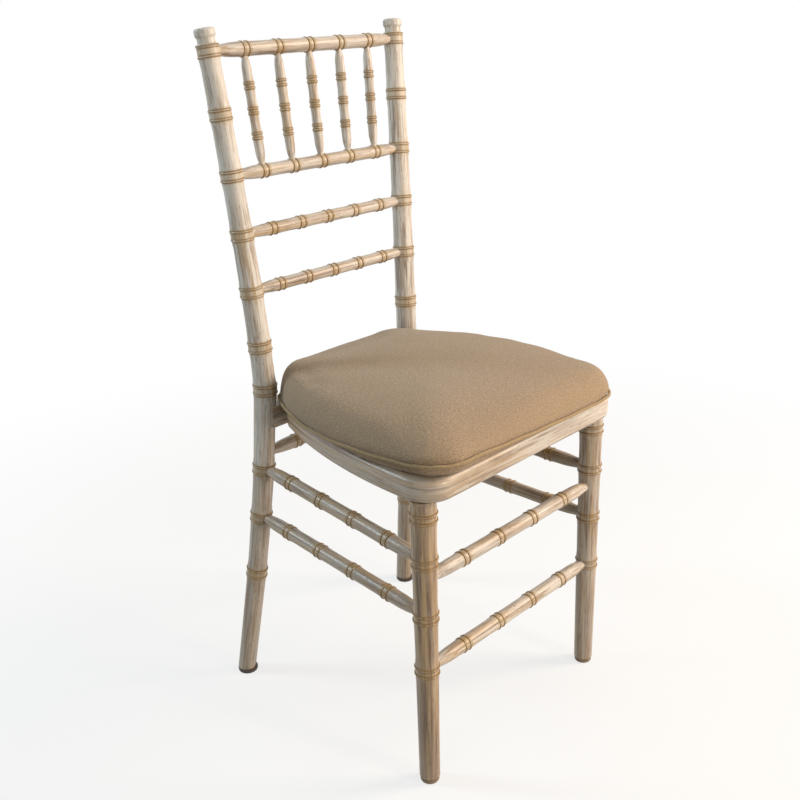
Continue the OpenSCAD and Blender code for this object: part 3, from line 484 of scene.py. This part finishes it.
def bent_rail(name, path, run_start, lime_and_shade_start, lime_and_shade_end):
    """Sweeps the rail's section along path and stores where the fibres run, from run_start on. How
    much lime is left goes from its start value to its end value along it; where it is low it paints
    shade."""
    bpy.ops.object.select_all(action="DESELECT")
    bpy.ops.mesh.primitive_plane_add(size=0.01)
    rail = bpy.context.object
    rail.name = rail.data.name = name
    bpy.ops.object.mode_set(mode="EDIT")
    bpy.ops.mesh.delete(type="VERT")
    bpy.ops.object.mode_set(mode="OBJECT")
    count = len(rail_section)
    points, faces, fibres = [], [], []
    along = run_start
    for j, (x, y, turn) in enumerate(path):
        out = Vector((math.cos(math.radians(turn)), math.sin(math.radians(turn)), 0))
        if j:
            along += math.hypot(x - path[j - 1][0], y - path[j - 1][1])
            for i in range(count):
                k = (i + 1) % count
                faces.append(((j - 1) * count + i, j * count + i,
                              j * count + k, (j - 1) * count + k))
        for inward, height in rail_section:
            points.append(Vector((x, y, SEAT_Z - FRAME_H + height)) - out * inward)
            fibres.append((inward, height, along))
    last = (len(path) - 1) * count
    faces += [list(range(count)), [last + i for i in reversed(range(count))]]
    rail.data.from_pydata(points, [], faces)
    run = rail.data.attributes.new("fibres", "FLOAT_VECTOR", "POINT")
    for value, fibre in zip(run.data, fibres):
        value.vector = fibre
    bpy.ops.object.mode_set(mode="EDIT")
    bpy.ops.mesh.select_all(action="SELECT")
    bpy.ops.mesh.normals_make_consistent(inside=False)
    bpy.ops.object.mode_set(mode="OBJECT")
    bpy.ops.object.shade_smooth_by_angle(angle=math.radians(40))
    material = new_material("limewashed beech, " + name.replace("_", " "))
    tree = material.node_tree
    grain = add(tree, "ShaderNodeAttribute", attribute_name="fibres").outputs["Vector"]
    split = add(tree, "ShaderNodeSeparateXYZ", {0: grain})
    lime_and_shade = add(tree, "ShaderNodeMapRange",
               {0: split.outputs[2], 1: run_start, 2: along, 3: lime_and_shade_start, 4: lime_and_shade_end})
    limewashed_beech(tree, grain, 61.0, lime_and_shade.outputs[0])
    rail.data.materials.append(material)
    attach(rail, "frame")
    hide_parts(name)


def run_length(path):
    return sum(math.hypot(q[0] - p[0], q[1] - p[1]) for p, q in zip(path, path[1:]))


# the lime thins towards the rear and most on the left: this paints the shade on the chair's left
# side
bent_rail("seat_front_rail", front_path, 0.0, 0.55, 0.95)
bent_rail("seat_side_rail_right", side_half, run_length(front_path), 0.95, 0.75)
bent_rail("seat_side_rail_left", other_side(side_half), -run_length(side_half), 0.15, 0.55)
material = new_material("limewashed beech, seat back rail")
tree = material.node_tree
place = add(tree, "ShaderNodeTexCoord").outputs["Object"]
grain = add(tree, "ShaderNodeMapping", {"Vector": place, "Rotation": (0, math.radians(90), 0)},
            vector_type="TEXTURE")
limewashed_beech(tree, grain.outputs[0], 67.0, 0.7)
finish_node("seat_back_rail", material)

# ---- Seat panel, corner blocks and dowels ----
# Under the pad lies a sheet of birch plywood, screwed down on four corner blocks of unfinished
# beech. Fluted beech dowels join the rails. None of them is lacquered, so they are pale and matt.


def bare_wood(name, dark, light, scale, stretch, turn, roughness):
    """Unfinished wood whose fibres run along X before it is turned by turn. Its bands are 1 / scale
    metres wide, and longer by 1 / stretch."""
    material = new_material(name)
    tree = material.node_tree
    place = add(tree, "ShaderNodeTexCoord").outputs["Object"]
    grain = add(tree, "ShaderNodeMapping", {"Vector": place, "Rotation": (0, 0, turn)},
                vector_type="TEXTURE")
    fibres = add(tree, "ShaderNodeVectorMath", {0: grain.outputs[0], 1: (stretch, 1, 1)},
                 operation="MULTIPLY")
    figure = add(tree, "ShaderNodeTexNoise",
                 {"Vector": fibres.outputs[0], "Scale": scale, "Detail": 5.0, "Roughness": 0.6,
                  "Distortion": 0.6})
    colour = add(tree, "ShaderNodeValToRGB", {0: figure.outputs[0]})
    late_wood, early_wood = colour.color_ramp.elements
    late_wood.position, late_wood.color = 0.35, paint(dark)
    early_wood.position, early_wood.color = 0.65, paint(light)
    bump = add(tree, "ShaderNodeBump",
               {"Strength": 0.4, "Distance": 0.0002, "Height": figure.outputs[0]})
    wood = add(tree, "ShaderNodeBsdfPrincipled",
               {"Base Color": colour.outputs[0], "Roughness": roughness, "Normal": bump.outputs[0]})
    add(tree, "ShaderNodeOutputMaterial", {"Surface": wood.outputs[0]})
    return material


finish_node("seat_panel", bare_wood("birch plywood", "#B99A6C", "#DCC59C", 60.0, 0.12, 0.0, 0.65))
for corner, turn in (("front_left", 45), ("front_right", -45), ("rear_left", -45),
                     ("rear_right", 45)):
    finish_node("corner_block_" + corner,
                bare_wood("sawn beech, " + corner.replace("_", " "), "#C9A57C", "#E2C9A4",
                          140.0, 0.10, math.radians(turn), 0.7))
finish_node("rail_dowels",
            bare_wood("fluted beech dowel", "#CDAA80", "#E0C79F", 300.0, 0.1, 0.0, 0.7))

# ---- Screws and nails ----
# Countersunk screws hold the corner blocks, the front legs' tenons and the seat panel, and a nail
# holds each glide. All are zinc-plated steel: grey, with a fine uneven sheen.
zinc = new_material("zinc-plated steel")
tree = zinc.node_tree
place = add(tree, "ShaderNodeTexCoord").outputs["Object"]
spots = add(tree, "ShaderNodeTexNoise", {"Vector": place, "Scale": 900.0, "Detail": 3.0})
sheen = add(tree, "ShaderNodeMapRange", {0: spots.outputs[0], 1: 0.3, 2: 0.7, 3: 0.26, 4: 0.44})
tone = add(tree, "ShaderNodeMix", {0: spots.outputs[0], 6: paint("#A9A9A4"), 7: paint("#C9C8C2")},
           data_type="RGBA")
metal = add(tree, "ShaderNodeBsdfPrincipled",
            {"Base Color": tone.outputs[2], "Metallic": 1.0, "Roughness": sheen.outputs[0]})
add(tree, "ShaderNodeOutputMaterial", {"Surface": metal.outputs[0]})
for name in ("block_screws", "leg_screws", "panel_screws", "glide_nails"):
    finish_node(name, zinc)

# ---- Glides ----
# Four discs of moulded nylon, nailed under the feet, tan at the front and dark at the rear. The
# floor has scuffed them dull in spots about 2.5 mm wide.
for end, dark, light in (("front", "#7D6A54", "#97836A"), ("rear", "#332C27", "#554B43")):
    nylon = new_material("moulded nylon, %s glides" % end)
    tree = nylon.node_tree
    place = add(tree, "ShaderNodeTexCoord").outputs["Object"]
    scuffs = add(tree, "ShaderNodeTexNoise",
                 {"Vector": place, "Scale": 420.0, "Detail": 4.0, "Roughness": 0.65})
    tone = add(tree, "ShaderNodeMix", {0: scuffs.outputs[0], 6: paint(dark), 7: paint(light)},
               data_type="RGBA")
    dull = add(tree, "ShaderNodeMapRange", {0: scuffs.outputs[0], 1: 0.3, 2: 0.7, 3: 0.45, 4: 0.7})
    grit = add(tree, "ShaderNodeBump",
               {"Strength": 0.3, "Distance": 0.0001, "Height": scuffs.outputs[0]})
    plastic = add(tree, "ShaderNodeBsdfPrincipled",
                  {"Base Color": tone.outputs[2], "Roughness": dull.outputs[0],
                   "Normal": grit.outputs[0]})
    add(tree, "ShaderNodeOutputMaterial", {"Surface": plastic.outputs[0]})
    for side in ("left", "right"):
        finish_node("glide_%s_%s" % (end, side), nylon)

# ---- Seat pad ----
# A slab of foam in a tight cover of plain-woven linen blend, taupe with darker and lighter slubs.
# The cover is pulled over the foam and sewn to a piped seam low on its side, and it lies loose on
# the seat.
PAD_BOTTOM_Z, PIPING_Z, PAD_BOW_R, VOXEL = 0.4333, 0.4385, 0.48, 0.005
pad_front, pad_front_r = (0.140, -0.159), 0.052
pad_rear, pad_rear_r = (0.0765, 0.092), 0.065

pad_bow = bow_centre(pad_front, pad_front_r, pad_rear, pad_rear_r, PAD_BOW_R)
pad_bow_start, pad_bow_end = facing(pad_bow, pad_front), facing(pad_bow, pad_rear)
pad_half = ([(pad_front[0] * (i + 0.5) / 14, pad_front[1] - pad_front_r, -90) for i in range(14)]
            + arc(pad_front, pad_front_r, -90, pad_bow_start, 22, 0)
            + arc(pad_bow, PAD_BOW_R, pad_bow_start, pad_bow_end, 30)
            + arc(pad_rear, pad_rear_r, pad_bow_end, 90, 26)
            + [(pad_rear[0] * (7.5 - i) / 8, pad_rear[1] + pad_rear_r, 90) for i in range(8)])
pad_path = pad_half + other_side(pad_half)

bpy.ops.object.select_all(action="DESELECT")
source = nodes["pad_foam"]
pad = source.copy()
pad.data = source.data.copy()
pad.name = pad.data.name = "seat_cushion"
for key in list(pad.keys()):
    del pad[key]
pad.parent = None
bpy.context.scene.collection.objects.link(pad)
pad.hide_render = pad.hide_viewport = False
bpy.context.view_layer.objects.active = pad
pad.select_set(True)
bpy.ops.object.mode_set(mode="EDIT")
bpy.ops.mesh.select_all(action="SELECT")
bpy.ops.mesh.remove_doubles(threshold=0.00005)
bpy.ops.mesh.normals_make_consistent(inside=False)
bpy.ops.object.mode_set(mode="OBJECT")
remesh = pad.modifiers.new("even mesh", "REMESH")
remesh.mode = "VOXEL"
remesh.voxel_size = VOXEL
bpy.ops.object.modifier_apply(modifier=remesh.name)


def within(value):
    """value, kept between 0 and 1."""
    return min(1.0, max(0.0, value))


def ease(share):
    """A share of 0 to 1 that starts and ends gently."""
    return share * share * (3 - 2 * share)


def nearness(x, y, centre, reach):
    """1 where x, y lies on centre, and 0 from the distance reach on."""
    return within(1 - math.hypot(x - centre[0], y - centre[1]) / reach)


# The foam has worn round: its square shoulder has become a quarter ellipse, and its side stands out
# over the seam between the posts and the front. It is thinner at the front right corner and crushed
# into a wide slope at the front left corner.

# the square shoulder, measured in and up from the seam, and the rounder one that replaces it
SHOULDER_IN, SHOULDER_H = 0.028, 0.041
EDGE_IN, ROUND_IN, ROUND_H, ROUND_POWER = 0.0023, 0.020, 0.042, 0.9
# the top's crown is raised, and its rim is drawn out towards the new shoulder
CROWN_GAIN, RIM_OUT, RIM_W = 1.3, 0.008, 0.08
# the seam pulls the foot of the side in, and the side bulges halfway up, except at the rear
FOOT_IN, FOOT_H = 0.002, 0.012
BULGE, BULGE_H, BULGE_REAR_Y, BULGE_FADE = 0.0045, 0.040, 0.115, 0.05
# the worn corner loses a share of its height, and the crushed one more towards its edge
WORN_CORNER, WORN_REACH, WORN_DROP = (0.18, -0.19), 0.16, 0.12
CRUSHED_CORNER, CRUSHED_REACH, CRUSHED_DROP = (-0.17, -0.19), 0.30, 0.06
SLOPE_W, SLOPE_DROP = 0.11, 0.46
# the underside's edge is drawn fuller than it ends up, because smoothing rounds it off
UNDER_W, UNDER_OUT, UNDER_DOWN = 0.022, 0.010, 0.007

seam = kdtree.KDTree(len(pad_path))
for i, (x, y, turn) in enumerate(pad_path):
    seam.insert((x, y, 0), i)
seam.balance()
start_shape = []
for v in pad.data.vertices:
    x, y, turn = pad_path[seam.find((v.co.x, v.co.y, 0))[1]]
    out = Vector((math.cos(math.radians(turn)), math.sin(math.radians(turn)), 0))
    deep = max(0.0, (x - v.co.x) * out.x + (y - v.co.y) * out.y)
    height = v.co.z - PIPING_Z
    if height > 0:
        # where the point lies on the slab's shoulder, as an angle up from the seam
        over = max(0.0, 1 - (deep - EDGE_IN) / (SHOULDER_IN - EDGE_IN)) ** 2
        angle = math.atan2(min(1.0, height / SHOULDER_H) ** 2, over)
        up = ROUND_H * math.sin(angle) ** ROUND_POWER
        up += CROWN_GAIN * max(0.0, height - SHOULDER_H)
        inset = EDGE_IN + (ROUND_IN - EDGE_IN) * (1 - math.cos(angle) ** ROUND_POWER)
        bulge = BULGE * within((BULGE_REAR_Y - v.co.y) / BULGE_FADE) * min(1.0, 1.35 + out.y)
        inset -= FOOT_IN * min(1.0, up / FOOT_H)
        inset -= bulge * math.sin(math.pi * min(1.0, up / BULGE_H)) ** 2
        if deep < SHOULDER_IN:
            push = deep - inset
        else:
            push = RIM_OUT * max(0.0, 1 - (deep - SHOULDER_IN) / RIM_W)
        # the pad is a little higher at the rear than at the front
        level = 1.02 + 0.35 * (v.co.y + 0.03)
        level -= WORN_DROP * nearness(v.co.x, v.co.y, WORN_CORNER, WORN_REACH)
        slope = CRUSHED_DROP + SLOPE_DROP * max(0.0, 1 - deep / SLOPE_W) ** 2
        level -= slope * ease(nearness(v.co.x, v.co.y, CRUSHED_CORNER, CRUSHED_REACH))
        v.co += out * push
        v.co.z = PIPING_Z + up * level
    else:
        full = max(0.0, 1 - deep / UNDER_W)
        v.co += out * (UNDER_OUT * full) - Vector((0, 0, UNDER_DOWN * full))
    start_shape.append(v.co.copy())

# The cover is blown up over the foam, sewn fast at its seam. The foam lets it stand off by 3.5 mm
# at most.
STAND_OFF, INFLATION_FRAMES = 0.0035, 20
held = pad.vertex_groups.new(name="sewn edge")
sewn = [v.index for v in pad.data.vertices if v.co.z < PIPING_Z + 0.003]
held.add(sewn, 1.0, "REPLACE")
cloth = pad.modifiers.new("cover", "CLOTH")
cloth.settings.quality = 6
cloth.settings.mass = 0.3
cloth.settings.tension_stiffness = cloth.settings.compression_stiffness = 12
cloth.settings.bending_stiffness = 0.6
cloth.settings.use_pressure = True
cloth.settings.uniform_pressure_force = 4
cloth.settings.vertex_group_mass = held.name
cloth.settings.effector_weights.gravity = 0
cloth.collision_settings.use_collision = False
bpy.context.scene.frame_start, bpy.context.scene.frame_end = 1, INFLATION_FRAMES
for step in range(1, INFLATION_FRAMES + 1):
    bpy.context.scene.frame_set(step)
bpy.ops.object.modifier_apply(modifier=cloth.name)
bpy.context.scene.frame_set(1)
for v, start in zip(pad.data.vertices, start_shape):
    move = v.co - start
    if move.length > STAND_OFF:
        v.co = start + move * (STAND_OFF / move.length)
smooth = pad.modifiers.new("even", "SMOOTH")
smooth.factor, smooth.iterations = 0.5, 9
bpy.ops.object.modifier_apply(modifier=smooth.name)

# use has pressed the folds out of both front corners, above the seam
PRESSED_CORNER, PRESSED_REACH = (0.15, -0.17), 0.16
pressed = pad.vertex_groups.new(name="pressed corners")
for v in pad.data.vertices:
    near = within(1.6 * nearness(abs(v.co.x), v.co.y, PRESSED_CORNER, PRESSED_REACH))
    off_seam = within((v.co.z - PIPING_Z - 0.010) / 0.012)
    pressed.add([v.index], near * off_seam, "REPLACE")
press = pad.modifiers.new("pressed", "SMOOTH")
press.factor, press.iterations, press.vertex_group = 0.5, 45, pressed.name
bpy.ops.object.modifier_apply(modifier=press.name)
fine = pad.modifiers.new("fine", "SUBSURF")
fine.levels = fine.render_levels = 1
bpy.ops.object.modifier_apply(modifier=fine.name)

LIFT, LIFTED_CORNER, LIFT_REACH, PAD_TO_RIGHT = 0.0090, (-0.165, -0.185), 0.24, 0.001


def settle(point, loose=1.0):
    """A point of the pad as it lies, a little to the right and with its front left corner off the
    frame. loose is how much of the lift the point takes part in."""
    near = ease(nearness(point.x, point.y, LIFTED_CORNER, LIFT_REACH))
    return point + Vector((PAD_TO_RIGHT, 0, LIFT * near * loose))


# the cover is 2 mm thick with its wadding and has shallow creases, and its underside sags down to
# the frame where the seam lifts
COVER_T, BROAD_CREASE, FINE_CREASE = 0.0022, 0.0009, 0.0004
normals = [v.normal.copy() for v in pad.data.vertices]
for v, normal in zip(pad.data.vertices, normals):
    v.co.z = max(v.co.z, PAD_BOTTOM_Z)
    thick = COVER_T + BROAD_CREASE * noise.noise(v.co * 14 + Vector((3, 1, 0)))
    thick += FINE_CREASE * noise.noise(v.co * 45)
    above = within((v.co.z - PAD_BOTTOM_Z) / 0.006)
    thick *= within((v.co.z - PIPING_Z - 0.001) / 0.007)
    v.co = settle(v.co + normal * thick, 0.05 + 0.95 * above)
bpy.ops.object.shade_smooth()

PAD_MIDDLE, SHOULDER_Z = Vector((0, -0.0335, 0)), 0.478


def lay_weave(piece):
    """Stores where each point lies on the flat cloth, which runs on down the side of the pad."""
    weave = piece.data.attributes.new("weave", "FLOAT_VECTOR", "POINT")
    for value, v in zip(weave.data, piece.data.vertices):
        flat = Vector((v.co.x, v.co.y, 0)) - PAD_MIDDLE
        out = flat.normalized() if flat.length > 0.001 else Vector((0, 0, 0))
        value.vector = flat + out * max(0.0, SHOULDER_Z - v.co.z)


def linen(name, light, mid, dark, seed):
    """Plain-woven linen blend with threads about 0.7 mm apart and a fine heather of fibres 1 to
    3 mm long."""
    material = new_material(name)
    tree = material.node_tree
    cloth_place = add(tree, "ShaderNodeAttribute", attribute_name="weave").outputs["Vector"]
    # slubs along the threads of both directions, about 1 mm wide and 5 mm long
    threads = []
    for stretch in ((0.22, 1, 1), (1, 0.22, 1)):
        run = add(tree, "ShaderNodeVectorMath", {0: cloth_place, 1: stretch}, operation="MULTIPLY")
        thread = add(tree, "ShaderNodeTexNoise",
                     {"Vector": run.outputs[0], "W": seed + stretch[0], "Scale": 850.0,
                      "Detail": 2.0, "Roughness": 0.6}, noise_dimensions="4D")
        threads.append(thread.outputs[0])
    # a plain weave: the two directions take turns on top
    split = add(tree, "ShaderNodeSeparateXYZ", {0: cloth_place})
    thread_gap = 0.0007
    waves = []
    for i in (0, 1):
        phase = add(tree, "ShaderNodeMath", {0: split.outputs[i], 1: math.pi / thread_gap},
                    operation="MULTIPLY")
        wave = add(tree, "ShaderNodeMath", {0: phase.outputs[0]}, operation="SINE")
        waves.append(wave.outputs[0])
    crossing = add(tree, "ShaderNodeMath", {0: waves[0], 1: waves[1]}, operation="MULTIPLY")
    over = add(tree, "ShaderNodeMapRange",
               {0: crossing.outputs[0], 1: -0.3, 2: 0.3, 3: 0.0, 4: 1.0})
    top_thread = add(tree, "ShaderNodeMix", {0: over.outputs[0], 2: threads[0], 3: threads[1]},
                     data_type="FLOAT")
    heather = add(tree, "ShaderNodeTexNoise",
                  {"Vector": cloth_place, "W": seed + 2.5, "Scale": 430.0, "Detail": 3.0,
                   "Roughness": 0.7}, noise_dimensions="4D")
    blend = add(tree, "ShaderNodeMix", {0: 0.5, 2: top_thread.outputs[0], 3: heather.outputs[0]},
                data_type="FLOAT")
    shade = add(tree, "ShaderNodeValToRGB", {0: blend.outputs[0]})
    ramp = shade.color_ramp
    ramp.elements[0].position, ramp.elements[0].color = 0.36, paint(dark)
    ramp.elements[1].position, ramp.elements[1].color = 0.64, paint(light)
    middle = ramp.elements.new(0.50)
    middle.color = paint(mid)
    # wear has evened out the colour in patches about 70 mm across
    wear = add(tree, "ShaderNodeTexNoise",
               {"Vector": cloth_place, "W": seed + 5.0, "Scale": 14.0, "Detail": 3.0},
               noise_dimensions="4D")
    faded = add(tree, "ShaderNodeMapRange", {0: wear.outputs[0], 1: 0.35, 2: 0.7, 3: 0.0, 4: 0.30})
    colour = add(tree, "ShaderNodeMix", {0: faded.outputs[0], 6: shade.outputs[0], 7: paint(mid)},
                 data_type="RGBA")
    relief = add(tree, "ShaderNodeMath", {0: top_thread.outputs[0], 1: crossing.outputs[0]},
                 operation="ADD")
    bump = add(tree, "ShaderNodeBump",
               {"Strength": 0.45, "Distance": 0.0003, "Height": relief.outputs[0]})
    cloth = add(tree, "ShaderNodeBsdfPrincipled", {
        "Base Color": colour.outputs[2], "Roughness": 0.92, "Sheen Weight": 0.25,
        "Sheen Roughness": 0.5, "Specular IOR Level": 0.25, "Normal": bump.outputs[0]})
    add(tree, "ShaderNodeOutputMaterial", {"Surface": cloth.outputs[0]})
    return material


lay_weave(pad)
pad.data.materials.clear()
pad.data.materials.append(
    linen("woven linen blend, taupe", "#C4AB89", "#A08970", "#75624B", 71.0))
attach(pad, "seat_pad")
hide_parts("pad_cover", "pad_foam")

# ---- Piping ----
# A cord in a strip of the same cloth, sewn into the seam round the pad. It stands just proud of the
# seam, wanders a little with the stitches and lifts with the pad's front left corner.
PIPING_R, PIPING_OUT, PIPING_UP = 0.0022, 0.0006, 0.0015

bpy.ops.object.select_all(action="DESELECT")
bpy.ops.curve.primitive_bezier_circle_add(radius=0.1)
piping = bpy.context.object
piping.name = "cushion_piping"
piping.data.splines.clear()
cord = piping.data.splines.new("POLY")
cord.points.add(len(pad_path) - 1)
for i, (x, y, turn) in enumerate(pad_path):
    out = Vector((math.cos(math.radians(turn)), math.sin(math.radians(turn)), 0))
    wander = 0.0004 * math.sin(i * 0.9) + 0.0003 * math.sin(i * 0.37 + 1)
    centre = Vector((x, y, PIPING_Z + PIPING_UP + wander)) + out * PIPING_OUT
    cord.points[i].co = (*settle(centre), 1)
cord.use_cyclic_u = True
piping.data.dimensions = "3D"
piping.data.bevel_depth = PIPING_R
piping.data.bevel_resolution = 4
piping.data.use_fill_caps = False
bpy.ops.object.convert(target="MESH")
piping = bpy.context.object
piping.data.name = "cushion_piping"
bpy.ops.object.shade_smooth()
lay_weave(piping)
piping.data.materials.clear()
piping.data.materials.append(
    linen("woven linen blend, piping", "#C2A982", "#A68D69", "#846C4E", 73.0))
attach(piping, "seat_pad")
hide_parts("pad_piping")
